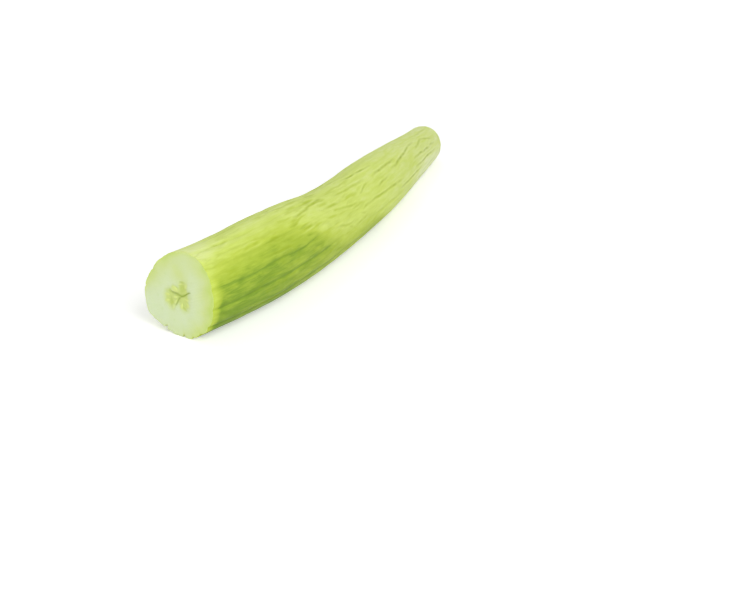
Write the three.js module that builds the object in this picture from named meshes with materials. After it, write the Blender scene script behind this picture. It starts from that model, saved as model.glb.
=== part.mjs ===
// Cut piece of a ribbed snake cucumber: one solid of skin, flesh and seed core.
// It lies on z = 0 with its length along +Y, the slanting cut at -Y and the round tip at +Y.
// The origin is the bottom centre of its bounding box. Units are millimetres.

import * as THREE from 'three';

// Spine: the curved middle line, flat over the ground, that leans from +Y towards +X at the cut.
const spineLength = 272;
const leanAtCut = 16;
const leanAtTip = -8;
const bendPower = 2.2;
const spineSteps = 60;

// Radius of the body at stations spaced evenly along the spine, from the cut to the tip.
const stationSpacing = 27.2;
const stationRadii = [21.0, 21.0, 21.2, 20.4, 18.6, 17.7, 17.3, 16.1, 14.4, 12.4, 11.0];
const tipLength = 11;
const tipRoundness = 2.2;
const scarRadius = 3;
const scarDepth = 0.6;

// The section has three soft lobes and many shallow ribs. The belly is a little flat.
const lobeHeight = 1.0;
const lobeHeightAtTip = 0.2;
const lobeTurn = 10;
const ribCount = 16;
const ribHeight = 0.28;
const ribHeightAtTip = 0.08;
const ribWander = 0.04;
const ribWanderLength = 120;
const bellyFlat = 0.8;

// The cut slants: each millimetre to the +X side or upwards sets the face back by this much.
const slantSide = 0.175;
const slantUp = 0.13;
const slantReach = 40;
const slantFade = 1.5;

// Seed core in the cut face: three sunken lobes round a crack with three arms.
const coreRadius = 7.5;
const coreLobe = 1.6;
const coreDepth = 0.5;
const coreEdge = 1.6;
const coreTurn = 85;
const crackArms = [28, 161, 238];
const crackReach = [6.6, 7.2, 5.7];
const crackDepth = 0.9;
const crackHalfWidth = 0.45;

// Mesh density.
const aroundCount = 80;
const bodyRings = 30;
const tipRings = 6;
const faceRadii = [0.95, 0.72, 0.52, 0.42, 0.33, 0.25, 0.17, 0.09];

const degToRad = THREE.MathUtils.degToRad;
const smoothstep = THREE.MathUtils.smoothstep;
const lerp = THREE.MathUtils.lerp;

const stationDistances = stationRadii.map((radius, index) => index * stationSpacing);
const radiusCurve = new THREE.CubicInterpolant(stationDistances, stationRadii, 1);

function leanAt(distance) {
  const left = Math.max(1 - distance / spineLength, 0);
  return degToRad(leanAtTip + (leanAtCut - leanAtTip) * left ** bendPower);
}

// Place on the spine, found by walking from the cut in short straight steps.
function spinePlace(distance) {
  const place = new THREE.Vector3();
  const step = distance / spineSteps;
  for (let i = 0; i < spineSteps; i += 1) {
    const lean = leanAt((i + 0.5) * step);
    place.x += step * Math.sin(lean);
    place.y += step * Math.cos(lean);
  }
  return place;
}

function bodyRadius(distance) {
  return radiusCurve.evaluate(Math.min(distance, spineLength - 0.5))[0];
}

// Factor that closes the body over its last few millimetres.
function tipFactor(distance) {
  const t = Math.max((distance - (spineLength - tipLength)) / tipLength, 0);
  return Math.sqrt(Math.max(1 - t ** tipRoundness, 0));
}

function skinRadius(distance, angle) {
  const along = distance / spineLength;
  const lobeWave = Math.cos(3 * (angle - degToRad(lobeTurn)));
  const lobe = -lerp(lobeHeight, lobeHeightAtTip, along) * lobeWave;
  const wander = ribWander * Math.sin((2 * Math.PI * distance) / ribWanderLength);
  const rib = lerp(ribHeight, ribHeightAtTip, along) * Math.cos(ribCount * (angle + wander));
  return (bodyRadius(distance) + lobe + rib) * tipFactor(distance);
}

function directionsAt(distance) {
  const lean = leanAt(distance);
  return {
    along: new THREE.Vector3(Math.sin(lean), Math.cos(lean), 0),
    side: new THREE.Vector3(Math.cos(lean), -Math.sin(lean), 0),
    up: new THREE.Vector3(0, 0, 1),
  };
}

function spineCentre(distance) {
  const centre = spinePlace(distance);
  centre.z = bodyRadius(distance) - bellyFlat;
  return centre;
}

function skinPoint(distance, angle) {
  const { along, side, up } = directionsAt(distance);
  const radius = skinRadius(distance, angle);
  const sideways = radius * Math.cos(angle);
  const upwards = radius * Math.sin(angle);
  const fade = Math.max(1 - distance / slantReach, 0) ** slantFade;
  const point = spineCentre(distance);
  point.addScaledVector(side, sideways);
  point.addScaledVector(up, upwards);
  point.addScaledVector(along, (slantSide * sideways + slantUp * upwards) * fade);
  point.z = Math.max(point.z, 0);
  return point;
}

// Depth of the seed core and its crack below the flat of the cut, at a place on the face.
function coreSink(radius, angle) {
  const edge = coreRadius + coreLobe * Math.cos(3 * (angle - degToRad(coreTurn)));
  let sink = coreDepth * (1 - smoothstep(radius, edge - coreEdge, edge));
  crackArms.forEach((arm, index) => {
    const turn = angle - degToRad(arm);
    const inArm = Math.cos(turn) > 0 && radius * Math.cos(turn) < crackReach[index];
    if (inArm && radius * Math.abs(Math.sin(turn)) < crackHalfWidth) {
      sink = coreDepth + crackDepth;
    }
  });
  return sink;
}

function facePoint(fraction, angle) {
  const centre = spineCentre(0);
  const { along, side, up } = directionsAt(0);
  const inward = along.clone().addScaledVector(side, -slantSide).addScaledVector(up, -slantUp);
  inward.normalize();
  const point = centre.clone().lerp(skinPoint(0, angle), fraction);
  const radius = fraction * skinRadius(0, angle);
  return point.addScaledVector(inward, coreSink(radius, angle));
}

// Point on the dome of the tip, with a shallow scar where the flower was.
function tipPoint(distance, angle) {
  const point = skinPoint(distance, angle);
  const radius = skinRadius(distance, angle);
  const sink = scarDepth * (1 - smoothstep(radius, 0, scarRadius));
  return point.addScaledVector(directionsAt(distance).along, -sink);
}

function buildRings() {
  const rings = [];
  const addRing = (place) => {
    const ring = [];
    for (let i = 0; i < aroundCount; i += 1) {
      ring.push(place((2 * Math.PI * i) / aroundCount));
    }
    rings.push(ring);
  };
  [...faceRadii].reverse().forEach((fraction) => addRing((angle) => facePoint(fraction, angle)));
  const bodyLength = spineLength - tipLength;
  for (let i = 0; i <= bodyRings; i += 1) {
    addRing((angle) => skinPoint((bodyLength * i) / bodyRings, angle));
  }
  for (let i = 1; i < tipRings; i += 1) {
    const distance = bodyLength + tipLength * Math.sin((Math.PI * i) / (2 * tipRings));
    addRing((angle) => tipPoint(distance, angle));
  }
  return rings;
}

// One closed skin: a centre point in the cut, the rings, and a pole at the tip.
function buildCucumber() {
  const rings = buildRings();
  const points = [facePoint(0, 0), ...rings.flat(), tipPoint(spineLength, 0)];
  const pole = points.length - 1;
  const ringStart = (ring) => 1 + ring * aroundCount;
  const faces = [];
  for (let i = 0; i < aroundCount; i += 1) {
    const next = (i + 1) % aroundCount;
    faces.push(0, i + 1, next + 1);
    for (let ring = 0; ring < rings.length - 1; ring += 1) {
      const a = ringStart(ring) + i;
      const b = ringStart(ring) + next;
      const c = ringStart(ring + 1) + next;
      const d = ringStart(ring + 1) + i;
      faces.push(a, c, b, a, d, c);
    }
    const last = ringStart(rings.length - 1);
    faces.push(last + i, pole, last + next);
  }
  const geometry = new THREE.BufferGeometry();
  geometry.setFromPoints(points);
  geometry.setIndex(faces);
  geometry.computeBoundingBox();
  const centre = geometry.boundingBox.getCenter(new THREE.Vector3());
  geometry.translate(-centre.x, -centre.y, -geometry.boundingBox.min.z);
  geometry.computeVertexNormals();
  return geometry;
}

const skin = new THREE.MeshStandardMaterial({ color: '#cbdc7a', roughness: 0.5, metalness: 0 });

const cucumber = new THREE.Mesh(buildCucumber(), skin);
cucumber.name = 'cucumber';

const group = new THREE.Group();
group.add(cucumber);

export default group;
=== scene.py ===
import random
from math import atan2, ceil, cos, exp, floor, hypot, pi, radians, sin, sqrt

import bmesh
import bpy
from mathutils import Matrix, Vector, noise


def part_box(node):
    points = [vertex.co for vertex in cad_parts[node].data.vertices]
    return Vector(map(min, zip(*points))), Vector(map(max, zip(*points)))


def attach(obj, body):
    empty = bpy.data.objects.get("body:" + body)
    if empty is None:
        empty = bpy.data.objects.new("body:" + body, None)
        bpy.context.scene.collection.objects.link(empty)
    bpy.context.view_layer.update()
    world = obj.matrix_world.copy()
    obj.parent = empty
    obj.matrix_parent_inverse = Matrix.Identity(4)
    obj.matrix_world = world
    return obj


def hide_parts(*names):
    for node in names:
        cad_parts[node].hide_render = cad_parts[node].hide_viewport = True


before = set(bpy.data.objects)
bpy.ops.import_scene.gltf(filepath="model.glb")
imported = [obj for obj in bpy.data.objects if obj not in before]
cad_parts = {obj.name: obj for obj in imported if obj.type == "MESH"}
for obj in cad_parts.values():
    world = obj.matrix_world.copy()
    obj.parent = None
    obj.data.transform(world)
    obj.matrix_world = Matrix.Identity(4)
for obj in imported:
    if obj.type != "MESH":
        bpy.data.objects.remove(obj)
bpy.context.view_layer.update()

mm = 0.001
noise.seed_set(5)      # left alone, noise_vector would start from the clock


def hexToLinear(hexColour):
    # sRGB hex to the linear values that nodes and lamps take
    channels = [int(hexColour[i:i + 2], 16) / 255 for i in (1, 3, 5)]
    linear = [c / 12.92 if c <= 0.04045 else ((c + 0.055) / 1.055) ** 2.4 for c in channels]
    return (*linear, 1.0)


def addNode(tree, kind, inputs=None, **settings):
    # settings are the node's own properties, inputs are its sockets: a value, or a socket to link
    node = tree.nodes.new(kind)
    for name, value in settings.items():
        setattr(node, name, value)
    for key, value in (inputs or {}).items():
        if isinstance(value, bpy.types.NodeSocket):
            tree.links.new(value, node.inputs[key])
        else:
            node.inputs[key].default_value = value
    return node


def startNodes(owner):
    # empty node tree of a material or a world
    owner.use_nodes = True
    owner.node_tree.nodes.clear()
    return owner.node_tree


def addObject(name, data):
    made = bpy.data.objects.new(name, data)
    bpy.context.scene.collection.objects.link(made)
    return made


def addPiece(name, bm):
    mesh = bpy.data.meshes.new(name)
    bm.to_mesh(mesh)
    bm.free()
    return addObject(name, mesh)


def paintRamp(ramp, tones):
    stops = ramp.color_ramp.elements
    stops.remove(stops[1])
    stops[0].position, stops[0].color = tones[0][0], hexToLinear(tones[0][1])
    for position, hexColour in tones[1:]:
        stops.new(position).color = hexToLinear(hexColour)


def smoothStep(low, high, value):
    t = min(max((value - low) / (high - low), 0.0), 1.0)
    return t * t * (3 - 2 * t)


def between(a, b, t):
    return a + (b - a) * t


def blendOver(pair, reach, value):
    # from the first of the pair to the second, while the value goes over this reach
    return between(*pair, smoothStep(*reach, value))


def noiseAt(place, amount, size):
    return amount * noise.noise(place / size)


# the camera comes first, so that the framing never waits for the mesh
view = {
    "azimuth": 28,  # degrees round from the front towards +X
    "elevation": 26,  # degrees above the floor
    "distance": 774 * mm,
    "aim": Vector((56.9, -57.3, -0.8)) * mm,
    "lens": 75,  # millimetres, as is the sensor
    "sensorWidth": 36,
    "nearest": 10 * mm,  # anything closer isn't drawn
}


def addCamera():
    azimuth = radians(view["azimuth"])
    elevation = radians(view["elevation"])
    back = Vector((sin(azimuth) * cos(elevation),
                   -cos(azimuth) * cos(elevation),
                   sin(elevation)))
    camera = addObject("camera", bpy.data.cameras.new("camera"))
    camera.data.lens = view["lens"]
    camera.data.sensor_width = view["sensorWidth"]
    camera.data.clip_start = view["nearest"]
    camera.location = view["aim"] + back * view["distance"]
    camera.rotation_euler = back.to_track_quat("Z", "Y").to_euler()
    bpy.context.scene.camera = camera


addCamera()
print("camera placed")


# The cucumber is made straight, along +Y from the cut to the tip, sculpted, and then bent.
body = {
    "length": 272 * mm,  # along the curved middle line
    "leanAtCut": 16,  # degrees that the middle line leans from +Y towards +X
    "leanAtTip": -8,
    "bendPower": 2.2,  # most of the bend is near the cut
    "spineStep": 0.5 * mm,
    "stationSpacing": 27.2 * mm,
    "stationRadii": [21.0, 21.0, 21.2, 20.4, 18.6, 17.7, 17.3, 16.1, 14.4, 12.4, 11.0],  # millimetres
    "tipLength": 11 * mm,
    "tipRoundness": 2.2,
    "bellyFlat": 0.8 * mm,
    "slantSide": 0.175,  # the cut is set back by this much for each length to +X
    "slantUp": 0.13,  # and by this much for each length upwards
    "slantReach": 40 * mm,
    "slantFade": 1.5,
    "rimRound": 0.18 * mm,  # the knife leaves the skin's edge barely rounded
    "rimRings": (0, 0.08, 0.25, 0.55, 1.0, 1.3, 2.4),  # this many rimRounds from the cut
    "around": 300,
    "rings": 214,
    "domeRings": 18,
    "domeTurn": 1.33,  # radians of the dome that these cover
    "scarRings": 16,  # these cover the rest of it
    "patternRadius": 18 * mm,  # the skin's pattern lies on a straight tube this thick
}


def leanAt(distance):
    left = max(1 - distance / body["length"], 0.0)
    lean = between(body["leanAtTip"], body["leanAtCut"], left ** body["bendPower"])
    return radians(lean)


def walkSpine(step):
    # places along the middle line, a short step apart
    places = [Vector((0, 0, 0))]
    for i in range(round(body["length"] / step) + 2):
        lean = leanAt((i + 0.5) * step)
        places.append(places[-1] + Vector((sin(lean), cos(lean), 0)) * step)
    return places


spinePlaces = walkSpine(body["spineStep"])


def spineAt(distance):
    position = distance / body["spineStep"]
    i = min(int(position), len(spinePlaces) - 2)
    return spinePlaces[i].lerp(spinePlaces[i + 1], position - i)


def bodyRadius(distance):
    # smooth curve through the stations
    radii = body["stationRadii"]
    position = min(max(distance, 0.0) / body["stationSpacing"], len(radii) - 1.001)
    i = int(position)
    t = position - i
    a, b, c, d = (radii[min(max(k, 0), len(radii) - 1)] for k in (i - 1, i, i + 1, i + 2))
    curved = 3 * (b - c) + d - a
    return (b + 0.5 * t * (c - a + t * (2 * a - 5 * b + 4 * c - d + t * curved))) * mm


def tipFactor(distance):
    # closes the body over its last few millimetres
    t = max((distance - (body["length"] - body["tipLength"])) / body["tipLength"], 0.0)
    return sqrt(max(1 - t ** body["tipRoundness"], 0.0))


def domeDistance(fraction):
    # where on the dome the body has shrunk to this fraction of its radius
    t = (1 - fraction * fraction) ** (1 / body["tipRoundness"])
    return body["length"] - body["tipLength"] * (1 - t)


def ringDistances():
    rim = [body["rimRound"] * t for t in body["rimRings"]]
    plain = body["length"] - body["tipLength"]
    step = (plain - rim[-1]) / body["rings"]
    along = [rim[-1] + step * i for i in range(1, body["rings"] + 1)]
    fractions = [cos(body["domeTurn"] * i / body["domeRings"])
                 for i in range(1, body["domeRings"] + 1)]
    inner = fractions[-1]
    fractions += [inner * (1 - i / body["scarRings"]) for i in range(1, body["scarRings"])]
    return rim + along + [domeDistance(fraction) for fraction in fractions]


# Relief of the skin: lobes, ribs, furrows, fine ridges, lumps, and nicks in the rim of the cut.
relief = {
    "lobeCount": 3,  # soft lobes, strongest at the cut
    "lobeHeight": (1.0 * mm, 0.2 * mm),  # at the cut and at the tip
    "lobeTurn": 10,
    "ribCount": 14,  # broad ribs with narrow valleys
    "ribTurn": 23,
    "ribHeight": (0.50 * mm, 0.22 * mm),  # at the cut and at the tip
    "ribFade": (0, 0.45),  # where this changes, as shares of the length
    "ribBreadth": 2.4,  # a higher power makes the valleys narrower
    "ribEvenness": 0.75,  # a lower one makes some ribs weaker than others
    "ribLevel": 0.8,  # share of the height below the plain radius
    "ribWander": 0.04,  # radians, in one long wave
    "ribWanderLength": 120 * mm,
    "ribDrift": 0.14,  # radians, in slow noise
    "ribDriftSize": 26 * mm,
    "ribJitter": (0.05, 8 * mm),  # radians and size of a quicker noise
    "slowStretch": 0.4,  # slow noises run along the body
    "wrinkleDepth": 0.15 * mm,  # narrow wavy furrows
    "wrinkleSize": (3.0 * mm, 13 * mm),  # width and length
    "wrinkleNarrowness": 0.17,
    "wrinkleSway": (0.8 * mm, 6 * mm),  # width and length
    "wrinkleDetail": (0.45, 2.3),  # strength and fineness of a second noise
    "wrinkleGaps": (-0.15, 0.3),  # noise levels where furrows start and are deepest
    "wrinkleGapSize": 9 * mm,
    "wrinkleFade": (60 * mm, 150 * mm),  # distances between which they get weak
    "wrinkleAtTip": 0.2,
    "wrinkleTone": 0.3,  # how much they darken the skin
    "fineHeight": 0.14 * mm,  # of fine ridges
    "fineAtTip": 0.5,  # share of it that is left there
    "fineSize": (1.6 * mm, 10 * mm),  # width and length
    "lumps": (0.25 * mm, 34 * mm),  # height and size
    # nicks in the rim of the cut: angle in degrees, depth and half width in millimetres
    "nicks": [(248, 2.3, 0.6), (259, 0.6, 0.5), (270, 0.4, 0.5), (281, 1.8, 0.7), (296, 0.9, 0.7),
              (310, 1.0, 0.7), (326, 0.4, 0.6), (222, 0.3, 0.7), (181, 0.4, 0.8), (152, 0.3, 0.8)],
    "nickLength": 5 * mm,
    "nickFade": 1.5,
    # broad swells and flats towards the cut: angle, height and half width
    "swells": [(160, -0.9, 7.0), (216, 1.5, 5.0), (308, -0.7, 4.5)],
    "swellReach": 80 * mm,
}


def onTube(distance, angle):
    # place of a point of the skin on the straight tube that carries its pattern
    pattern = body["patternRadius"]
    return Vector((pattern * cos(angle), distance, pattern * sin(angle)))


def stretched(tube, width, length):
    return Vector((tube.x / width, tube.y / length, tube.z / width))


def ribShape(distance, angle):
    # 0 in a valley, 1 on the broad back of a rib; and the slow noise that moves it
    tube = onTube(distance, angle)
    tube.y *= relief["slowStretch"]
    slow = noise.noise(tube / relief["ribDriftSize"])
    wander = relief["ribWander"] * sin(2 * pi * distance / relief["ribWanderLength"])
    wander += relief["ribDrift"] * slow + noiseAt(tube, *relief["ribJitter"])
    turn = relief["ribCount"] * (angle - radians(relief["ribTurn"]) + wander)
    return 1 - (1 - abs(sin(turn / 2))) ** relief["ribBreadth"], slow


def wrinkleShape(distance, angle):
    # furrows run where stretched noise crosses zero, broken up by a slower noise
    # the fixed vectors keep the noises apart
    tube = onTube(distance, angle)
    sway, swayLength = relief["wrinkleSway"]
    tube += sway * noise.noise_vector(tube / swayLength)
    place = stretched(tube, *relief["wrinkleSize"])
    strength, fineness = relief["wrinkleDetail"]
    field = noise.noise(place) + strength * noise.noise(fineness * place + Vector((7, 3, 5)))
    tube.y *= relief["slowStretch"]
    slow = noise.noise(tube / relief["wrinkleGapSize"] + Vector((2, 9, 4)))
    broken = smoothStep(*relief["wrinkleGaps"], slow)
    left = blendOver((1.0, relief["wrinkleAtTip"]), relief["wrinkleFade"], distance)
    return exp(-(field / relief["wrinkleNarrowness"]) ** 2) * broken * left


def humps(angle, places):
    # sum of soft humps around the body, each given by its angle, height and half width
    total = 0.0
    for humpAngle, height, halfWidth in places:
        turn = (angle - radians(humpAngle) + pi) % (2 * pi) - pi
        away = turn * bodyRadius(0) / (halfWidth * mm)
        total += height * mm * exp(-away * away)
    return total


def skinHeight(distance, angle):
    # lobes, swells, ribs, furrows, fine ridges and lumps above the plain radius
    along = distance / body["length"]
    lobe = -between(*relief["lobeHeight"], along)
    lobe *= cos(relief["lobeCount"] * (angle - radians(relief["lobeTurn"])))
    swell = humps(angle, relief["swells"]) * (1 - smoothStep(0, relief["swellReach"], distance))
    rib, slow = ribShape(distance, angle)
    ribHeight = blendOver(relief["ribHeight"], relief["ribFade"], along)
    ribs = ribHeight * (relief["ribEvenness"] + slow) * (rib - relief["ribLevel"])
    furrow = -relief["wrinkleDepth"] * wrinkleShape(distance, angle)
    tube = onTube(distance, angle)
    fine = relief["fineHeight"] * noise.noise(stretched(tube, *relief["fineSize"]))
    fine *= between(1.0, relief["fineAtTip"], along)
    return lobe + swell + ribs + furrow + fine + noiseAt(tube, *relief["lumps"])


def rimDrop(distance, angle):
    # how far the skin is below itself at the rim: the rounded edge, and the nicks in it
    edge = max(body["rimRound"] - distance, 0.0)
    drop = body["rimRound"] - sqrt(body["rimRound"] ** 2 - edge ** 2)
    fade = max(1 - distance / relief["nickLength"], 0.0) ** relief["nickFade"]
    return drop + humps(angle, relief["nicks"]) * fade


# Creases of the skin: thin lines with raised lips, most of them along the body.
creases = {
    # start and end along the body in millimetres, start and end angle in degrees, depth, darkness
    "main": [
        (6, 26, 76, 75, 0.20, 0.45), (69, 85, 61, 64, 0.34, 1.0), (82, 101, 65, 71, 0.26, 0.8),
        (110, 145, 65, 62, 0.16, 0.55), (131, 162, 84, 75, 0.30, 0.9), (152, 187, 57, 58, 0.30, 0.85),
        (93, 114, 53, 53, 0.22, 0.6), (102, 128, 44, 34, 0.20, 0.5), (66, 83, 39, 41, 0.26, 0.8),
        (174, 224, 46, 63, 0.32, 0.85), (219, 238, 49, 58, 0.20, 0.6), (236, 252, 58, 45, 0.20, 0.6),
        (209, 252, 32, 31, 0.34, 0.85), (207, 251, 13, 12, 0.30, 0.75), (177, 220, 0, 1, 0.34, 0.9),
        (131, 186, 22, 15, 0.30, 0.8), (117, 133, 2, 6, 0.20, 0.5), (28, 42, 52, 54, 0.22, 0.55),
        (45, 58, 49, 46, 0.22, 0.55), (12, 34, 94, 97, 0.16, 0.4), (60, 78, 90, 86, 0.16, 0.4),
        (96, 118, 18, 10, 0.20, 0.5), (40, 64, 32, 28, 0.22, 0.5), (150, 171, 36, 39, 0.16, 0.4),
    ],
    "mainWidth": 0.55 * mm,
    "wobble": 0.6 * mm,
    "wobbleLength": 7 * mm,
    "taper": 0.6,  # a lower power makes the ends blunter
    "gaps": 0.8,  # unevenness of a crease along its length
    "gapLength": 4 * mm,
    "dig": 0.8,  # share of the depth that is really dug
    "lip": 0.35,  # height of the lips, as a share of the depth
    "lipAway": 2.0,  # widths from the middle to the lips
    "reach": 3.4,  # widths from the middle to where it ends sideways
    "softWidth": 2.2,
    "deepest": 0.6 * mm,  # where several creases meet
    "leastRadius": 2 * mm,  # of the body, where they are laid round it
    "shade": (0.75, 0.25, 0.3),  # darkness of hollow and soft edge, partly the crease's own darker green and partly painted shade; lightness of the lips, a painted highlight
    "lipFade": (0.3, 0.9),  # tones of skin where the lips get weaker
    "lipLost": 0.75,
    "seed": 7,
    "backCount": 46,  # like the main ones, on the sides and the back
    "backStart": (4 * mm, 205 * mm),
    "backAngle": (102, 354),
    "backLength": (16 * mm, 58 * mm),
    "backTwist": 0.09,
    "backDepth": (0.14, 0.34),  # millimetres
    "backDarkness": (0.3, 0.9),
    "shortCount": 170,
    "shortStart": (2 * mm, 200 * mm),
    "shortCrowding": (0.6, 1.0),  # brings them nearer the cut
    "shortLength": (4 * mm, 15 * mm),
    "shortTwist": 0.05,
    "shortWidth": (0.35 * mm, 0.5 * mm),
    "shortDepth": (0.05 * mm, 0.16 * mm),
    "shortDarkness": 0.6,  # most are much weaker
    "tipCount": 26,  # long ones that run together towards the tip
    "tipEnd": (0, 20 * mm),  # where they end, short of the last few millimetres
    "tipGap": 5 * mm,
    "tipAngle": (66, 360),
    "tipLength": (18 * mm, 46 * mm),
    "tipTwist": 0.04,
    "tipDepth": (0.06, 0.2),  # millimetres
    "tipDarkness": (0.1, 0.5),
}


def digCrease(height, tone, distances, crease):
    # one crease with raised lips, tapered at both ends, into the tables of height and tone
    start, end, fromAngle, toAngle, width, depth, darkness = crease
    hollowShade, softShade, lipShade = creases["shade"]
    around = body["around"]
    for i, s in enumerate(distances):
        if not start < s < end:
            continue
        t = (s - start) / (end - start)
        taper = sin(pi * t) ** creases["taper"]
        uneven = noise.noise(Vector((s / creases["gapLength"], fromAngle, start / mm)))
        taper *= max(creases["gaps"] + creases["gaps"] * uneven, 0.0)
        radius = max(bodyRadius(s) * tipFactor(s), creases["leastRadius"])
        wobble = noise.noise(Vector((s / creases["wobbleLength"], 3 * fromAngle, 0)))
        middle = between(fromAngle, toAngle, smoothStep(0, 1, t)) + creases["wobble"] * wobble / radius
        reach = creases["reach"] * width / radius
        first = floor((middle - reach) / (2 * pi) * around)
        last = ceil((middle + reach) / (2 * pi) * around)
        for j in range(first, last + 1):
            away = (2 * pi * j / around - middle) * radius / width
            hollow = exp(-away * away)
            lip = exp(-(abs(away) - creases["lipAway"]) ** 2)
            soft = exp(-(away / creases["softWidth"]) ** 2)
            height[i][j % around] += creases["dig"] * depth * taper * (creases["lip"] * lip - hollow)
            # tone: the hollow and soft edge are darkened, partly the crease's own green and partly
            # painted shade; the lips are lightened, a painted highlight
            tone[i][j % around] += darkness * taper * (
                hollowShade * hollow + softShade * soft - lipShade * lip)


def scatterCreases():
    # start, end, start and end angle, width, depth and darkness of each crease
    rng = random.Random(creases["seed"])
    found = [(start * mm, end * mm, radians(fromAngle), radians(toAngle),
              creases["mainWidth"], depth * mm, darkness)
             for start, end, fromAngle, toAngle, depth, darkness in creases["main"]]
    for n in range(creases["backCount"]):
        start = rng.uniform(*creases["backStart"])
        angle = radians(rng.uniform(*creases["backAngle"]))
        found.append((start, start + rng.uniform(*creases["backLength"]),
                      angle, angle + rng.gauss(0, creases["backTwist"]), creases["mainWidth"],
                      rng.uniform(*creases["backDepth"]) * mm, rng.uniform(*creases["backDarkness"])))
    for n in range(creases["shortCount"]):
        length = rng.uniform(*creases["shortLength"])
        start = rng.uniform(*creases["shortStart"]) * rng.uniform(*creases["shortCrowding"])
        angle = rng.uniform(0, 2 * pi)
        found.append((start, start + length, angle, angle + rng.gauss(0, creases["shortTwist"]),
                      rng.uniform(*creases["shortWidth"]), rng.uniform(*creases["shortDepth"]),
                      rng.uniform(0.0, 1.0) ** 2 * creases["shortDarkness"]))
    for n in range(creases["tipCount"]):
        length = rng.uniform(*creases["tipLength"])
        start = body["length"] - creases["tipGap"] - length - rng.uniform(*creases["tipEnd"])
        angle = radians(rng.uniform(*creases["tipAngle"]))
        found.append((start, start + length, angle, angle + rng.gauss(0, creases["tipTwist"]),
                      creases["mainWidth"], rng.uniform(*creases["tipDepth"]) * mm,
                      rng.uniform(*creases["tipDarkness"])))
    return found


def digCreases(distances):
    height = [[0.0] * body["around"] for s in distances]
    tone = [[0.0] * body["around"] for s in distances]
    for crease in scatterCreases():
        digCrease(height, tone, distances, crease)
    return height, tone


# Scar of the flower at the tip: a dry dimple in a low corky ring, where the skin is puckered.
scar = {
    "radius": 1.5 * mm,
    "dimple": 0.6 * mm,
    "ringHeight": 0.3 * mm,
    "uneven": (0.3, 1.8),  # strength and fineness of its uneven edge
    "dimpleEdge": (0.2, 0.9),  # where the dimple ends, as shares of the radius
    "outerEdge": (0.95, 1.4),  # where its colours end
    "innerEdge": (0.15, 0.8),
    "ringAt": 1.05,
    "ringWidth": 0.25,
    "puckerAt": 2.2,
    "puckerWidth": 1.1,
    "puckers": 9,
    "puckerSway": 1.5,  # unevenness of their spacing
    "puckerDepth": 0.3 * mm,
}


def scarAcross(radius, angle):
    # distance from the middle of the scar, 1 at its uneven edge
    around = Vector((cos(angle), sin(angle), 0))
    strength, fineness = scar["uneven"]
    return radius / scar["radius"] * (1 + strength * noise.noise(fineness * around))


def scarHeight(radius, angle):
    # height of the scar and its puckers, along the body
    across = scarAcross(radius, angle)
    dimple = 1 - smoothStep(*scar["dimpleEdge"], across)
    ring = exp(-((across - scar["ringAt"]) / scar["ringWidth"]) ** 2)
    fold = 0.5 + 0.5 * cos(scar["puckers"] * angle + scar["puckerSway"] * sin(2 * angle))
    pucker = exp(-((across - scar["puckerAt"]) / scar["puckerWidth"]) ** 2) * fold ** 2
    return scar["ringHeight"] * ring - scar["dimple"] * dimple - scar["puckerDepth"] * pucker


def scarMark(radius, angle):
    # 0 on the skin, 1 on the ring, 2 in the dimple
    across = scarAcross(radius, angle)
    return 2 - smoothStep(*scar["outerEdge"], across) - smoothStep(*scar["innerEdge"], across)


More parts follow.
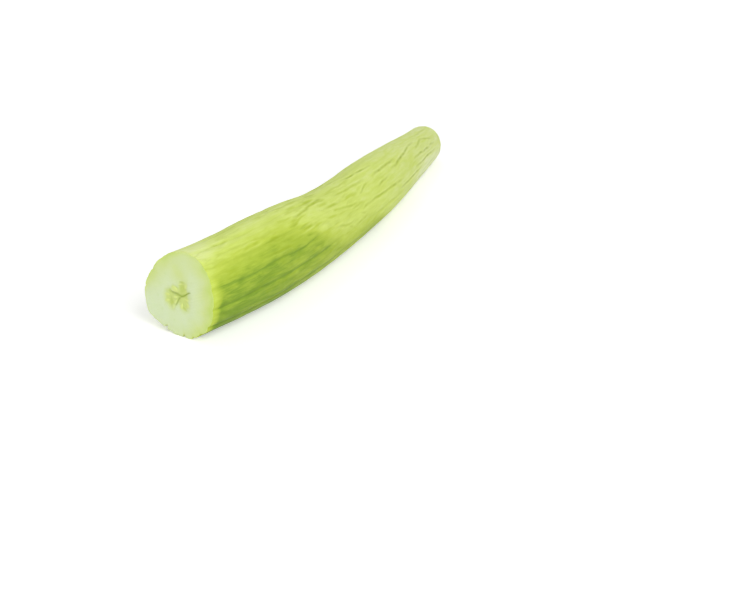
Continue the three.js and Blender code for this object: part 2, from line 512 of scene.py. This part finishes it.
# Seed core in the cut: three lobes of gel with soft seeds, round a crack with three arms.
core = {
    "middle": (0.3 * mm, -0.7 * mm),  # of the crack, sideways and upwards from the middle of the cut
    # sideways, upwards, turn, length and width of each lobe of gel, in millimetres and degrees
    "lobes": [(1.0, 3.6, 86, 9.0, 6.2), (-5.8, -2.1, 98, 10.2, 8.0), (2.2, -3.1, 295, 8.0, 6.8),
              (-3.4, 2.6, 150, 5.4, 4.4)],
    "middleRadius": 5.4 * mm,
    "gelDepth": 0.35 * mm,
    # darker, wetter pockets in the gel
    "pockets": [(0.7, 3.9, 90, 5.2, 3.8), (0.4, 7.2, 5, 3.8, 1.3), (-5.2, -3.8, 102, 5.6, 2.1),
                (3.1, -5.6, 330, 3.2, 1.3), (-6.4, 1.6, 60, 2.4, 1.8), (1.0, 0.8, 20, 4.0, 2.2)],
    # turn, start, reach, half width and strength of each arm of the crack
    "cracks": [(29, 0.0, 7.4, 0.42, 1.0), (167, 0.0, 7.0, 0.66, 0.75), (240, 0.9, 6.4, 0.50, 0.7)],
    "crackDepth": 0.30 * mm,
    "seedHeight": 0.28 * mm,
    # pale seeds, laid out like the lobes
    "seeds": [
        (-4.0, 2.8, 155, 4.4, 2.8), (-0.6, 5.8, 20, 2.8, 0.9), (2.7, 5.4, 66, 3.0, 1.3),
        (-8.0, -0.8, 172, 3.2, 1.5), (-7.9, -3.8, 205, 3.4, 1.5), (-3.0, -1.0, 190, 2.4, 1.1),
        (-2.9, -3.1, 235, 2.6, 0.9), (-4.1, -6.2, 250, 2.8, 1.1),
        (0.8, -4.6, 262, 3.4, 1.4), (4.6, -3.6, 318, 3.2, 1.4), (3.9, -0.9, 350, 2.6, 1.1),
    ],
    "bundleCount": 11,  # bundles of veins, in a ring halfway to the rind
    "bundleRing": 13.2 * mm,
    "bundleRadius": 0.55 * mm,
    "bundleScatter": (0.05, 0.12),  # outwards as a share, and round the ring in radians
    "knifeTurn": 24,  # degrees that the knife's drag lines climb
    "knifeDepth": 0.05 * mm,
    "knifeLength": 40 * mm,
    "knifeWidths": (0.9 * mm, 0.35 * mm),  # of the broad lines and of the fine ones
    "knifeFine": 0.5,  # depth of the fine ones, as a share of the broad ones
    "gelEdge": (0.45, 1.4),  # how softly each part ends, 1 at the edge of its oval
    "pocketEdge": (0.4, 1.3),
    "seedEdge": (0.62, 1.15),
    "waves": (0.22, 2.2 * mm),  # in these edges: strength and size
    "seedTaper": 0.35,  # a seed is broader at its outer end
    "crackSway": (0.22, 1.1),  # height and length of its waves, in millimetres
    "crackStart": 0.6,  # millimetres over which an arm sets in
    "crackEnd": 0.7,  # share of its reach at which it starts to fade
    "crackWidths": (1.15, 0.75),  # an arm gets narrower outwards
    "broadGrain": (0.10 * mm, 6 * mm),  # unevenness of the cut: height and size
    "fineGrain": (0.03 * mm, 1.1 * mm),
    "rimFlat": 0.97,  # the cut is level from here to the rim
    "innerRings": 44,
    "innerReach": 10.4 * mm,
    "outerRings": 18,
    "ringGap": 0.012,  # least gap between outer rings, as a share of the rim
    "ringCrowding": 1.4,  # a higher power crowds more of them at the rim
    "firstRing": 0.997,
}


def inOval(x, z, oval):
    # along and across the oval, each 1 at its edge; its blunt end points outwards
    ovalX, ovalZ, turn, length, width = oval
    dx, dz = x - ovalX * mm, z - ovalZ * mm
    c, s = cos(radians(turn)), sin(radians(turn))
    return (dx * c + dz * s) / (length / 2 * mm), (dz * c - dx * s) / (width / 2 * mm)


def coreParts(x, z):
    # how far a place on the cut is gel, seed, crack and wet pocket, each from 0 to 1
    cx, cz = x - core["middle"][0], z - core["middle"][1]
    radius = hypot(cx, cz)
    angle = atan2(cz, cx)
    wavy = noiseAt(Vector((cx, cz, 0)), *core["waves"])
    nearest = min(hypot(*inOval(cx, cz, lobe)) for lobe in core["lobes"]) + wavy
    gel = 1 - smoothStep(*core["gelEdge"], nearest)
    gel = max(gel, 1 - smoothStep(*core["gelEdge"], radius / core["middleRadius"] + wavy))
    nearest = min(hypot(*inOval(cx, cz, oval)) for oval in core["pockets"]) + wavy
    pocket = 1 - smoothStep(*core["pocketEdge"], nearest)
    seed = 0.0
    for oval in core["seeds"]:
        along, across = inOval(cx, cz, oval)
        across /= 1 + core["seedTaper"] * along
        seed = max(seed, 1 - smoothStep(*core["seedEdge"], hypot(along, across)))
    crack = 0.0
    sway, swayLength = core["crackSway"]
    for arm, start, reach, width, strength in core["cracks"]:
        turn = angle - radians(arm)
        forward = radius * cos(turn) / mm
        sideways = radius * sin(turn) / mm + sway * sin(forward / swayLength)
        deep = smoothStep(start - core["crackStart"], start, forward)
        deep *= 1 - smoothStep(core["crackEnd"] * reach, reach, forward)
        width *= between(*core["crackWidths"], forward / reach)
        crack = max(crack, strength * deep * exp(-(sideways / width) ** 2))
    return gel, seed * gel, crack, pocket


# Green of the cut flesh. It comes in from the rind, mostly on two sides of the cut.
fleshGreen = {
    "right": (1.3, 5, 5.2 * mm),  # strength, place in degrees and reach inwards
    "left": (0.9, 140, 4.5 * mm),
    "leftSpread": (0.5, 1.0),  # cosines of the turn from there, where it ends and is full
    "spot": (0.35, -1 * mm, 10 * mm, 5 * mm),  # above the core: strength, place and size
    "clouds": (0.5, 6 * mm),  # strength and size
    "layer": (0.15, 1.2 * mm),  # strength and depth, against the rind on the other sides
}


def fleshTone(x, z, depth):
    # 0 is the white of the middle, 1 the green against the rind
    angle = atan2(z, x)
    strength, place, reach = fleshGreen["right"]
    right = (0.5 + 0.5 * cos(angle - radians(place))) ** 2
    green = strength * right * exp(-depth / reach)
    strength, place, reach = fleshGreen["left"]
    left = smoothStep(*fleshGreen["leftSpread"], cos(angle - radians(place)))
    green += strength * left * exp(-depth / reach)
    strength, spotX, spotZ, size = fleshGreen["spot"]
    green += strength * exp(-((x - spotX) ** 2 + (z - spotZ) ** 2) / size ** 2)
    clouds = 1 + noiseAt(Vector((x, z, 0)), *fleshGreen["clouds"])
    strength, layerDepth = fleshGreen["layer"]
    layer = 1 - smoothStep(0, layerDepth, depth)
    return min(green * clouds, 1.0) + strength * layer * (1 - right)


def veinAt(x, z):
    # bundles of veins, cut across; the sines only scatter them
    angle = atan2(z, x)
    step = 2 * pi / core["bundleCount"]
    nearest = round(angle / step)
    outwards, sideways = core["bundleScatter"]
    ring = core["bundleRing"] * (1 + outwards * sin(7.3 * nearest))
    turn = nearest * step + sideways * sin(5.1 * nearest)
    away = hypot(x - ring * cos(turn), z - ring * sin(turn))
    return exp(-(away / core["bundleRadius"]) ** 2)


def knifeLine(x, z):
    # shallow lines that the knife drags across the cut
    turn = radians(core["knifeTurn"])
    along = x * cos(turn) + z * sin(turn)
    across = z * cos(turn) - x * sin(turn)
    broad, fine = core["knifeWidths"]
    lines = noise.noise(Vector((along / core["knifeLength"], across / broad, 0)))
    fineLines = noise.noise(Vector((along / core["knifeLength"], across / fine, 4)))
    lines += core["knifeFine"] * fineLines
    return core["knifeDepth"] * lines


def angleIndex(vert):
    turn = atan2(vert.co.z, vert.co.x) / (2 * pi)
    return round(turn * body["around"]) % body["around"]


def firstRing(bm):
    upright = Matrix.Rotation(radians(90), 4, "X")
    bmesh.ops.create_circle(bm, segments=body["around"], radius=bodyRadius(0), matrix=upright)
    return sorted(bm.verts, key=angleIndex)


def nextRing(bm, ring, radius, forward):
    # extrude the ring, bring the new one to its radius and move it along the body
    edges = [bm.edges.get((ring[i - 1], ring[i])) for i in range(len(ring))]
    made = bmesh.ops.extrude_edge_only(bm, edges=edges)["geom"]
    fresh = sorted([v for v in made if isinstance(v, bmesh.types.BMVert)], key=angleIndex)
    size = radius / hypot(ring[0].co.x, ring[0].co.z)
    bmesh.ops.scale(bm, vec=(size, 1, size), verts=fresh)
    bmesh.ops.translate(bm, vec=(0, forward, 0), verts=fresh)
    return fresh


def closeRing(bm, ring, place):
    # a last ring, drawn together to one point
    last = nextRing(bm, ring, hypot(ring[0].co.x, ring[0].co.z), 0)
    bmesh.ops.pointmerge(bm, verts=last, merge_co=place)
    return last[0]


def faceFractions():
    # ring radii on the cut, as fractions of the rim: close together at the rim and in the core
    inner = core["innerReach"] / bodyRadius(0)
    gap, count = core["ringGap"], core["outerRings"]
    spread = 1 - gap * count - inner
    outer = [1 - gap * k - spread * (k / count) ** core["ringCrowding"] for k in range(1, count + 1)]
    inside = [inner * (1 - k / core["innerRings"]) for k in range(1, core["innerRings"])]
    return [core["firstRing"]] + outer + inside


def bendPlace(place, inward=0.0):
    # from the straight body to its place in the frame
    x, distance, z = place
    lean = leanAt(distance)
    along = Vector((sin(lean), cos(lean), 0))
    side = Vector((cos(lean), -sin(lean), 0))
    fade = max(1 - distance / body["slantReach"], 0.0) ** body["slantFade"]
    setBack = (body["slantSide"] * x + body["slantUp"] * z) * fade + inward
    bent = spineAt(distance) + side * x + along * setBack
    bent.z = max(z + bodyRadius(distance) - body["bellyFlat"], 0.0)
    return bent


# Green of the skin, as a tone: 0 is cream, 1 is deep green, and the ramp goes on a little past that,
# into darker green that is painted shade.
# Distances are from the cut. Heights are 1 at the top of the body, 0 halfway and -1 at the belly.
skinGreen = {
    "top": (0.30, 0.13),  # tone along the top, before and after the change
    "topChange": (150 * mm, 265 * mm),
    # amount, distances and heights of two paler places: the top near the cut, and low near the tip,
    # which is partly the skin's cream and partly painted light from the white floor below
    "cutPaler": (0.22, (0, 28 * mm), (0.88, 1.0)),
    "tipPaler": (0.22, (175 * mm, 225 * mm), (-0.5, 0.5)),
    "flank": 0.50,  # how much greener the flank is, up to an edge
    "flankEdge": (0.70, 0.82),  # height of this edge
    "flankEdgeChange": (5 * mm, 24 * mm),
    # it sinks by so much between two distances
    "flankSinks": [(0.95, 55 * mm, 114 * mm), (1.4, 130 * mm, 210 * mm)],
    "flankSoft": (0.24, 0.42),  # half width of the edge
    "flankSoftChange": (60 * mm, 110 * mm),
    # painted shade: greener and darker still low on the right near the cut: amount, heights, sides and
    # distances
    "low": (0.20, (0.1, 0.8), (-0.4, 0.4), (20 * mm, 120 * mm)),
    "rimBand": (6.5, 18.0),  # millimetres of paler skin behind the cut, low and high
    "rimBandHeight": (0.55, 0.95),
    "rimBandUneven": (0.4, 9 * mm),
    "rimTone": (0.54, 0.20),  # its tone, low and high
    "rimToneHeight": (0.50, 1.0),
    "rimToneLeft": 0.55,  # share of it on the left side
    "rimToneSide": (0.1, 0.7),
    "rimLine": 0.06,  # thin greener line, right at the cut
    "rimLineWidth": 0.9 * mm,
    "tip": 0.12,
    "tipChange": (14 * mm, 3 * mm),  # before the end of the body
    "valley": (0.06, 0.12),  # greener in the valleys, and more so on green skin
    "dash": 0.25,  # greener dashes on the upper side of the middle
    "dashSize": 1.5 * mm,
    "dashStretch": 0.16,
    "dashLevels": (0.05, 0.5),
    "dashFrom": (48 * mm, 70 * mm),
    "dashTo": (115 * mm, 150 * mm),
    "dashLow": 0.1,  # share of them on the lower side
    "dashHeight": (0.2, 0.6),
    "patchStretch": 0.45,
    "patches": [(0.08, 16 * mm), (0.05, 6 * mm)],  # strength and size
    "speckStretch": 0.6,  # on top of the stretch of the patches
    "specks": (0.06, 1.8 * mm),
}


def skinTone(distance, angle):
    # deep low on the flanks towards the cut, and darker still low on the right there as painted shade;
    # pale behind the cut itself, cream at the tip, and paler low near it partly as painted light
    green = skinGreen
    height, side = sin(angle), cos(angle)
    tube = onTube(distance, angle)
    tone = blendOver(green["top"], green["topChange"], distance)
    amount, reach, rise = green["cutPaler"]
    tone -= amount * (1 - smoothStep(*reach, distance)) * smoothStep(*rise, height)
    # partly painted light: paler low near the tip, as if lit from the floor below
    amount, reach, rise = green["tipPaler"]
    tone -= amount * smoothStep(*reach, distance) * (1 - smoothStep(*rise, height))
    edge = blendOver(green["flankEdge"], green["flankEdgeChange"], distance)
    edge -= sum(sink * smoothStep(start, end, distance) for sink, start, end in green["flankSinks"])
    soft = blendOver(green["flankSoft"], green["flankSoftChange"], distance)
    tone += green["flank"] * (1 - smoothStep(edge - soft, edge + soft, height))
    # painted shade: low on the right near the cut the skin is darkened as if shaded
    amount, rise, sides, reach = green["low"]
    low = (1 - smoothStep(*rise, height)) * smoothStep(*sides, side)
    tone += amount * low * (1 - smoothStep(*reach, distance))

    band = blendOver(green["rimBand"], green["rimBandHeight"], height) * mm
    band *= 1 + noiseAt(tube, *green["rimBandUneven"])
    rimTone = blendOver(green["rimTone"], green["rimToneHeight"], height)
    rimTone *= blendOver((green["rimToneLeft"], 1.0), green["rimToneSide"], side)
    tone = between(min(tone, rimTone), tone, smoothStep(0, band, distance))
    tone += green["rimLine"] * (1 - smoothStep(0, green["rimLineWidth"], distance))
    tipStart, tipEnd = (body["length"] - before for before in green["tipChange"])
    tone = between(tone, green["tip"], smoothStep(tipStart, tipEnd, distance))

    rib = ribShape(distance, angle)[0]
    plain, onGreen = green["valley"]
    tone += (plain + onGreen * min(max(tone, 0.0), 1.0)) * (1 - rib) ** 2
    dashPlace = Vector((tube.x, green["dashStretch"] * tube.y, tube.z)) / green["dashSize"]
    dashes = smoothStep(*green["dashLevels"], noise.noise(dashPlace))
    dashes *= smoothStep(*green["dashFrom"], distance) * (1 - smoothStep(*green["dashTo"], distance))
    dashes *= blendOver((green["dashLow"], 1.0), green["dashHeight"], height)
    tube.y *= green["patchStretch"]
    patches = sum(noiseAt(tube, *patch) for patch in green["patches"])
    tube.y *= green["speckStretch"]
    return tone + patches + noiseAt(tube, *green["specks"]) + green["dash"] * dashes


def makeSkin(bm):
    # rings of the straight body, from the cut to the tip
    distances = ringDistances()
    rings = [firstRing(bm)]
    for before, s in zip(distances, distances[1:]):
        rings.append(nextRing(bm, rings[-1], bodyRadius(s) * tipFactor(s), s - before))
    pole = closeRing(bm, rings[-1], (0, body["length"], 0))
    return distances, rings, pole


def makeCut(bm, rim):
    # rings on the cut, from the rim to its middle, in the second material
    skinFaces = len(bm.faces)
    fractions = faceFractions()
    rings = [rim]
    for fraction in fractions:
        rings.append(nextRing(bm, rings[-1], bodyRadius(0) * fraction, 0))
    middle = closeRing(bm, rings[-1], (0, 0, 0))
    bm.faces.ensure_lookup_table()
    for face in bm.faces[skinFaces:]:
        face.material_index = 1
    return fractions + [0.0], rings[1:] + [[middle]]


def sculptSkin(layers, distances, rings, pole):
    angles = [2 * pi * j / body["around"] for j in range(body["around"])]
    height, crease = digCreases(distances)
    for i, (s, ring) in enumerate(zip(distances, rings)):
        for j, (angle, vert) in enumerate(zip(angles, ring)):
            radius = (bodyRadius(s) + skinHeight(s, angle)) * tipFactor(s)
            radius += max(height[i][j], -creases["deepest"]) - rimDrop(s, angle)
            forward = s
            if s > body["length"] - body["tipLength"]:
                forward += scarHeight(radius, angle)
                vert[layers["scar"]] = scarMark(radius, angle)
            vert.co = (radius * cos(angle), forward, radius * sin(angle))
            vert[layers["skinPlace"]] = onTube(s, angle)
            tone = skinTone(s, angle)
            mark = crease[i][j] + relief["wrinkleTone"] * wrinkleShape(s, angle)
            if mark < 0:      # the painted highlight of the lips shows less on deep green
                mark *= 1 - creases["lipLost"] * smoothStep(*creases["lipFade"], tone)
            vert[layers["skinTone"]] = tone
            vert[layers["crease"]] = mark
    pole.co.y += scarHeight(0, 0)
    pole[layers["skinPlace"]] = (0, body["length"], 0)
    pole[layers["scar"]] = scarMark(0, 0)


def sculptCut(layers, rim, fractions, rings):
    # spreads the rings between the sculpted rim and the core, and says how deep each place is
    rimPlaces = [vert.co.copy() for vert in rim]
    middle = Vector((core["middle"][0], 0, core["middle"][1]))
    sinks = {}
    for fraction, ring in zip(fractions, rings):
        for j, vert in enumerate(ring):
            vert.co = middle.lerp(rimPlaces[j], fraction)
            x, z = vert.co.x, vert.co.z
            gel, seed, crack, pocket = coreParts(x, z)
            uneven = noiseAt(vert.co, *core["broadGrain"]) - knifeLine(x, z) * (1 - gel)
            uneven += noiseAt(vert.co, *core["fineGrain"]) * (1 + 2 * gel)
            sink = core["gelDepth"] * gel - core["seedHeight"] * seed + core["crackDepth"] * crack
            sinks[vert] = (sink + uneven) * smoothStep(1.0, core["rimFlat"], fraction)
            vert[layers["skinPlace"]] = vert.co
            vert[layers["coreParts"]] = (gel, seed, crack)
            vert[layers["fleshMarks"]] = (pocket, veinAt(x, z),
                                          fleshTone(x, z, (1 - fraction) * bodyRadius(0)))
    return sinks


def moveToFrame(bm, sinks):
    # bends the body, and puts its box over the box of the plain cucumber, on the floor
    for vert in bm.verts:
        vert.co = bendPlace(vert.co, sinks.get(vert, 0.0))
    bmesh.ops.recalc_face_normals(bm, faces=bm.faces)
    low = [min(vert.co[k] for vert in bm.verts) for k in range(3)]
    high = [max(vert.co[k] for vert in bm.verts) for k in range(3)]
    cadLow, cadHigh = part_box("cucumber")
    toFrame = Vector(((cadLow[0] + cadHigh[0] - low[0] - high[0]) / 2,
                      (cadLow[1] + cadHigh[1] - low[1] - high[1]) / 2,
                      cadLow[2] - low[2]))
    bmesh.ops.translate(bm, vec=toFrame, verts=bm.verts)


def buildCucumber():
    bm = bmesh.new()
    vectors, numbers = bm.verts.layers.float_vector, bm.verts.layers.float
    layers = {name: vectors.new(name) for name in ("skinPlace", "coreParts", "fleshMarks")}
    layers |= {name: numbers.new(name) for name in ("skinTone", "crease", "scar")}
    # a layer's handle goes stale when the next one is added
    layers = {name: (vectors.get(name) or numbers.get(name)) for name in layers}

    distances, rings, pole = makeSkin(bm)
    print("straight body", len(bm.verts), "vertices")
    fractions, cutRings = makeCut(bm, rings[0])
    print("cut face", len(bm.faces), "faces in all")
    sculptSkin(layers, distances, rings, pole)
    print("skin sculpted")
    sinks = sculptCut(layers, rings[0], fractions, cutRings)
    print("cut sculpted")
    moveToFrame(bm, sinks)
    for face in bm.faces:
        face.smooth = True

    piece = addPiece("cucumber_body", bm)
    print("cucumber bent into place,", len(piece.data.polygons), "faces")
    return piece


noiseMiddle = (0.3, 0.7)      # nearly all of a noise texture lies between these

# Rind of a snake cucumber: thin, downy, unwaxed skin, so it is satin and never shiny.
# It goes from cream over yellow green to deep green, with thin darker lines in the creases, partly
# painted shade, and lips lightened by a painted highlight.
rind = {
    "tones": [(0.0, "#e6efb4"), (0.1, "#dae694"), (0.3, "#cfdf70"), (0.6, "#bcce4e"),
              (0.85, "#a5bb3b"), (1.0, "#7f9d2c"), (1.25, "#64831f")],
    "deepest": 1.25,  # tone at the end of the ramp; the darkest stops are partly painted shade
    # the crease colour is partly painted shade; the lip colour is a painted highlight
    "crease": "#9aae1c",
    "lip": "#ebf3a2",
    "scar": "#bdb57f",
    "scarMiddle": "#8a774a",
    "creaseStrength": 0.85,
    "lipStrength": 2.2,
    "streakSize": (2.174 * mm, 9.09 * mm),  # width and length of soft streaks
    "streakTone": 0.05,  # moves the tone up and down by this much
    "hairSize": (0.5263 * mm, 8.333 * mm),  # width and length of fine ones
    "hairTone": 0.04,
    "hairBump": 0.25 * mm,
    # pores and down are really some 0.1 mm across, and drawn coarser so that they show
    "poreSize": 0.7143 * mm,
    "poreBump": 0.06 * mm,
    "roughness": (0.50, 0.62),
}

# Cut flesh: crisp, wet and a little see-through, pale green under the rind and whiter inside.
flesh = {
    "tones": [(0.0, "#dae7be"), (0.5, "#d3e194"), (1.0, "#c8dc76")],
    "gel": "#cad972",
    "pocket": "#b0c44a",
    "seed": "#dbe78c",
    "crack": "#96ab3e",
    "vein": "#cade96",
    # how strongly each colour is laid over the ones before it
    "strengths": {"fibre": 0.35, "vein": 0.45, "gel": 0.85, "seed": 0.75, "pocket": 0.42},
    # cells are really some 0.1 mm across, and drawn coarser so that they show
    "cellSize": 0.8333 * mm,
    "cellBump": 0.12 * mm,
    "cloudSize": 6.25 * mm,
    "cloudTone": 0.06,
    "fibreWidth": 0.5 * mm,  # fibres run out from the middle, and are this wide at this radius
    "fibreRadius": 13 * mm,
    "fibreLength": 5.556 * mm,
    "fibreLevels": (0.45, 0.75),
    "roughness": 0.36,
}


def makeRind():
    material = bpy.data.materials.new("cucumberRind")
    tree = startNodes(material)
    place = addNode(tree, "ShaderNodeAttribute", attribute_name="skinPlace").outputs["Vector"]
    tone, crease, scarHere = (
        addNode(tree, "ShaderNodeAttribute", attribute_name=name).outputs["Fac"]
        for name in ("skinTone", "crease", "scar"))

    noises = {}
    for name, detail, distortion in [("streak", 3.0, 0.5), ("hair", 2.0, 0.0)]:
        across, along = (1 / size for size in rind[name + "Size"])
        stretched = addNode(tree, "ShaderNodeMapping", {
            "Vector": place, "Scale": (across, along, across)})
        noises[name] = addNode(tree, "ShaderNodeTexNoise", {
            "Vector": stretched.outputs[0], "Scale": 1.0, "Detail": detail, "Roughness": 0.6,
            "Distortion": distortion}).outputs["Fac"]
    low, high = noiseMiddle
    shares = [addNode(tree, "ShaderNodeMapRange", {
        "Value": noises[name], "From Min": low, "From Max": high,
        "To Min": -rind[name + "Tone"], "To Max": rind[name + "Tone"]}) for name in noises]
    lines = addNode(tree, "ShaderNodeMath", {0: shares[0].outputs[0], 1: shares[1].outputs[0]},
                    operation="ADD")
    toneHere = addNode(tree, "ShaderNodeMath", {0: tone, 1: lines.outputs[0]}, operation="ADD")
    onRamp = addNode(tree, "ShaderNodeMath", {0: toneHere.outputs[0], 1: rind["deepest"]},
                     operation="DIVIDE")
    ramp = addNode(tree, "ShaderNodeValToRGB", {"Fac": onRamp.outputs[0]})
    paintRamp(ramp, [(stop / rind["deepest"], hexColour) for stop, hexColour in rind["tones"]])

    # each laid over the ones before: a crease is above 0 and its lips below, the dimple is above 1
    colour = ramp.outputs["Color"]
    for mark, operation, amount, name in [(crease, "MULTIPLY", rind["creaseStrength"], "crease"),
                                          (crease, "MULTIPLY", -rind["lipStrength"], "lip"),
                                          (scarHere, "MULTIPLY", 1.0, "scar"),
                                          (scarHere, "SUBTRACT", 1.0, "scarMiddle")]:
        share = addNode(tree, "ShaderNodeMath", {0: mark, 1: amount}, operation=operation,
                        use_clamp=True)
        colour = addNode(tree, "ShaderNodeMix", {
            "Factor": share.outputs[0], 6: colour, 7: hexToLinear(rind[name])},
            data_type="RGBA").outputs[2]

    rough = addNode(tree, "ShaderNodeMapRange", {
        "Value": noises["streak"], "From Min": low, "From Max": high,
        "To Min": rind["roughness"][0], "To Max": rind["roughness"][1]})
    pores = addNode(tree, "ShaderNodeTexNoise", {
        "Vector": place, "Scale": 1 / rind["poreSize"], "Detail": 2.0})
    hairBump = addNode(tree, "ShaderNodeBump", {
        "Height": noises["hair"], "Strength": 0.4, "Distance": rind["hairBump"]})
    bump = addNode(tree, "ShaderNodeBump", {
        "Height": pores.outputs["Fac"], "Strength": 0.25, "Distance": rind["poreBump"],
        "Normal": hairBump.outputs[0]})
    shader = addNode(tree, "ShaderNodeBsdfPrincipled", {
        "Base Color": colour, "Roughness": rough.outputs[0], "Normal": bump.outputs[0],
        "IOR": 1.42, "Specular IOR Level": 0.3, "Subsurface Weight": 0.15,
        "Subsurface Scale": 1.2 * mm, "Subsurface Radius": (1.0, 1.0, 0.35)})
    addNode(tree, "ShaderNodeOutputMaterial", {"Surface": shader.outputs[0]})
    return material


def makeFlesh():
    material = bpy.data.materials.new("cutCucumberFlesh")
    tree = startNodes(material)
    place, parts, marks = (
        addNode(tree, "ShaderNodeAttribute", attribute_name=name).outputs["Vector"]
        for name in ("skinPlace", "coreParts", "fleshMarks"))
    part = addNode(tree, "ShaderNodeSeparateXYZ", {0: parts}).outputs
    mark = addNode(tree, "ShaderNodeSeparateXYZ", {0: marks}).outputs

    cells = addNode(tree, "ShaderNodeTexNoise", {
        "Vector": place, "Scale": 1 / flesh["cellSize"], "Detail": 3.0})
    clouds = addNode(tree, "ShaderNodeTexNoise", {
        "Vector": place, "Scale": 1 / flesh["cloudSize"], "Detail": 2.0})
    outward = addNode(tree, "ShaderNodeVectorMath", {0: place}, operation="NORMALIZE")
    outAt = addNode(tree, "ShaderNodeVectorMath", {0: place}, operation="LENGTH")
    outScaled = addNode(tree, "ShaderNodeMath", {
        0: outAt.outputs["Value"], 1: 1 / flesh["fibreLength"]}, operation="MULTIPLY")
    fibres = addNode(tree, "ShaderNodeTexNoise", {
        "Vector": outward.outputs[0], "Scale": flesh["fibreRadius"] / flesh["fibreWidth"],
        "Detail": 3.0}, noise_dimensions="4D")
    tree.links.new(outScaled.outputs[0], fibres.inputs["W"])

    jitter = addNode(tree, "ShaderNodeMapRange", {
        "Value": clouds.outputs["Fac"], "From Min": noiseMiddle[0], "From Max": noiseMiddle[1],
        "To Min": -flesh["cloudTone"], "To Max": flesh["cloudTone"]})
    toneHere = addNode(tree, "ShaderNodeMath", {0: mark["Z"], 1: jitter.outputs[0]}, operation="ADD")
    base = addNode(tree, "ShaderNodeValToRGB", {"Fac": toneHere.outputs[0]})
    paintRamp(base, flesh["tones"])
    strengths = flesh["strengths"]
    low, high = flesh["fibreLevels"]
    fibreShare = addNode(tree, "ShaderNodeMapRange", {
        "Value": fibres.outputs["Fac"], "From Min": low, "From Max": high,
        "To Min": 0.0, "To Max": strengths["fibre"]})
    layers = [(fibreShare.outputs[0], "vein")]
    for painted, name in [(mark["Y"], "vein"), (part["X"], "gel"), (part["Y"], "seed"),
                          (mark["X"], "pocket")]:
        share = addNode(tree, "ShaderNodeMath", {0: painted, 1: strengths[name]}, operation="MULTIPLY")
        layers.append((share.outputs[0], name))
    layers.append((part["Z"], "crack"))
    colour = base.outputs["Color"]
    for share, name in layers:
        colour = addNode(tree, "ShaderNodeMix", {
            "Factor": share, 6: colour, 7: hexToLinear(flesh[name])}, data_type="RGBA").outputs[2]
    bump = addNode(tree, "ShaderNodeBump", {
        "Height": cells.outputs["Fac"], "Strength": 0.3, "Distance": flesh["cellBump"]})
    shader = addNode(tree, "ShaderNodeBsdfPrincipled", {
        "Base Color": colour, "Roughness": flesh["roughness"], "Normal": bump.outputs[0],
        "IOR": 1.38, "Subsurface Weight": 0.35, "Subsurface Scale": 2.5 * mm,
        "Subsurface Radius": (1.0, 1.0, 0.5)})
    addNode(tree, "ShaderNodeOutputMaterial", {"Surface": shader.outputs[0]})
    return material


cucumber = buildCucumber()
cucumber.data.materials.append(makeRind())
cucumber.data.materials.append(makeFlesh())
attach(cucumber, "root")
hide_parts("cucumber")
print("cucumber finished")


# White table under soft studio light. The camera sees it white, and it keeps the shadow.
studio = {
    "floorSize": 8.0,  # metres
    "floorColour": "#f2f2f2",
    "worldLevel": 0.36,  # light on the cucumber; the camera sees pure white
    "floorLift": (0.34, 1.0),  # light that only the camera sees
    "floorReach": (0.25, 1.0),  # metres from the middle where it changes
    # place, aim, size across and watts of each lamp
    "lamps": {"key": ((0.80, -0.38, 0.80), (0, 0, 0), 0.9, 6.9),
              "front": ((0.40, -1.2, 0.50), (0, -0.1, 0), 0.9, 5.8),
              "back": ((-0.60, 0.60, 0.85), (0, 0, 0), 0.9, 3.0)},
}


def seenDirectly(tree):
    # 1 where the camera looks, straight on or by way of gloss or glass, and 0 where light bounces
    path = addNode(tree, "ShaderNodeLightPath").outputs
    mirrored = addNode(tree, "ShaderNodeMath", {
        0: path["Is Glossy Ray"], 1: path["Is Transmission Ray"]}, operation="MAXIMUM")
    return addNode(tree, "ShaderNodeMath", {0: path["Is Camera Ray"], 1: mirrored.outputs[0]},
                   operation="MAXIMUM").outputs[0]


def addFloor():
    bm = bmesh.new()
    bmesh.ops.create_grid(bm, x_segments=1, y_segments=1, size=studio["floorSize"] / 2)
    table = addPiece("table", bm)
    material = bpy.data.materials.new("whiteTable")
    tree = startNodes(material)
    matte = addNode(tree, "ShaderNodeBsdfDiffuse", {"Color": hexToLinear(studio["floorColour"])})
    place = addNode(tree, "ShaderNodeTexCoord").outputs["Object"]
    away = addNode(tree, "ShaderNodeVectorMath", {0: place}, operation="LENGTH").outputs["Value"]
    near, far = studio["floorReach"]
    nearFar = addNode(tree, "ShaderNodeMapRange", {
        "Value": away, "From Min": near, "From Max": far,
        "To Min": studio["floorLift"][0], "To Max": studio["floorLift"][1]})
    lift = addNode(tree, "ShaderNodeEmission", {"Strength": nearFar.outputs[0]})
    both = addNode(tree, "ShaderNodeAddShader", {0: matte.outputs[0], 1: lift.outputs[0]})
    surface = addNode(tree, "ShaderNodeMixShader", {
        0: seenDirectly(tree), 1: matte.outputs[0], 2: both.outputs[0]})
    addNode(tree, "ShaderNodeOutputMaterial", {"Surface": surface.outputs[0]})
    table.data.materials.append(material)


def addWorld():
    world = bpy.data.worlds.new("studio")
    tree = startNodes(world)
    strength = addNode(tree, "ShaderNodeMapRange", {
        "Value": seenDirectly(tree), "To Min": studio["worldLevel"], "To Max": 1.0})
    background = addNode(tree, "ShaderNodeBackground", {
        "Color": (1, 1, 1, 1), "Strength": strength.outputs[0]})
    addNode(tree, "ShaderNodeOutputWorld", {"Surface": background.outputs[0]})
    bpy.context.scene.world = world


def addLamp(name, place, aim, size, power):
    lamp = bpy.data.lights.new(name, "AREA")
    lamp.shape = "DISK"
    lamp.size = size
    lamp.energy = power
    holder = addObject(name, lamp)
    holder.location = place
    holder.rotation_euler = (Vector(place) - Vector(aim)).to_track_quat("Z", "Y").to_euler()


addFloor()
addWorld()
for name, lamp in studio["lamps"].items():
    addLamp(name, *lamp)
bpy.context.scene.view_settings.view_transform = "Standard"
print("studio lit")
